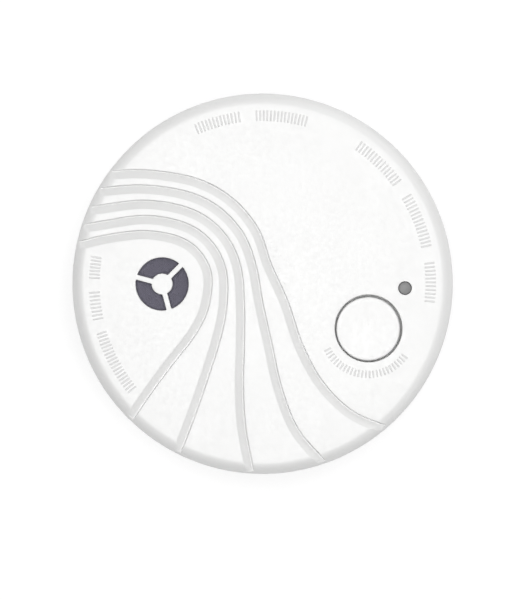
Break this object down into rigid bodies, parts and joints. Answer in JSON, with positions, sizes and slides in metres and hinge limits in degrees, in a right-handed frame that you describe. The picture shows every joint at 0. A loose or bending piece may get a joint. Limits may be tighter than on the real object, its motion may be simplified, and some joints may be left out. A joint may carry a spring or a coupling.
{
  "type": "battery smoke detector",
  "caption": "Round white battery smoke detector with sweeping grooves on its domed cover, a sounder grille, a test button and a status light, on a twist-off bracket.",
  "frame": {"origin": "centre of the bracket's mounting face", "axes": "+Z out of the ceiling or wall through the front face, +Y towards the top of the face"},
  "size_m": [0.12, 0.12, 0.036],
  "materials": {
    "white_plastic": "fine moulded satin",
    "button_plastic": "smooth satin",
    "black_plastic": "matte moulded",
    "light_pipe": "smoky clear, polished",
    "dark_lens": "tinted clear, polished",
    "dark_mesh": "black woven mesh",
    "sounder_cloth": "dark acoustic cloth",
    "circuit_board": "solder mask",
    "steel": "nickel plated",
    "brass": "bare sheet",
    "copper": "enamelled copper wire",
    "ceramic": "matte fired",
    "ferrite": "matte pressed ferrite",
    "rubber": "matte",
    "cell_wrap": "printed shrink wrap, no lettering"
  },
  "bodies": {
    "bracket": {"mounting_bracket": "white_plastic"},
    "detector": {"rear_case": "white_plastic", "vent_ring": "white_plastic", "vent_mesh": "dark_mesh", "front_cover": "white_plastic", "battery_cover": "white_plastic", "battery_cell": "cell_wrap", "battery_contact_positive": "steel", "battery_contact_negative": "steel", "circuit_board": "circuit_board", "microcontroller": "black_plastic", "radio_module": "steel", "antenna_wire": "copper", "capacitor_1": "black_plastic", "capacitor_2": "black_plastic", "sounder_coil_core": "ferrite", "sounder_coil_winding": "copper", "light_pipe": "light_pipe", "status_led": "ceramic", "button_spring": "steel", "switch_body": "black_plastic", "sounder_housing": "black_plastic", "sounder_gasket": "rubber", "sounder_mesh": "sounder_cloth", "piezo_disc": "brass", "piezo_ceramic": "ceramic", "piezo_retainer": "black_plastic", "sounder_contact_1": "steel", "sounder_contact_2": "steel", "chamber_base": "black_plastic", "chamber_labyrinth": "black_plastic", "insect_screen": "steel", "ir_emitter": "dark_lens", "photodiode": "dark_lens", "tamper_spring": "steel", "tamper_switch": "black_plastic", "case_screw_1": "steel", "case_screw_2": "steel", "case_screw_3": "steel", "case_screw_4": "steel", "board_screw_1": "steel", "board_screw_2": "steel", "board_screw_3": "steel"},
    "button": {"test_button": "button_plastic", "button_clip": "steel"},
    "switch_stem": {"switch_plunger": "rubber"},
    "tamper_pin": {"tamper_plunger": "black_plastic"}
  },
  "joints": [
    {"name": "bayonet_twist", "type": "hinge", "parent": "bracket", "child": "detector", "pos_m": [0, 0, 0], "axis": [0, 0, 1], "range_deg": [0, 20]},
    {"name": "button_press", "type": "slide", "parent": "detector", "child": "button", "axis": [0, 0, -1], "range_m": [0, 0.0008], "stiffness_N_per_m": 300, "springref_m": -0.002, "deforming": ["button_spring"]},
    {"name": "switch_press", "type": "slide", "parent": "detector", "child": "switch_stem", "axis": [0, 0, -1], "range_m": [0, 0.0008]},
    {"name": "tamper_press", "type": "slide", "parent": "detector", "child": "tamper_pin", "axis": [0, 0, 1], "range_m": [0, 0.001], "stiffness_N_per_m": 20, "springref_m": -0.002, "deforming": ["tamper_spring"]}
  ],
  "couplings": [
    {"joint": "switch_press", "follows": "button_press", "ratio": 1}
  ]
}
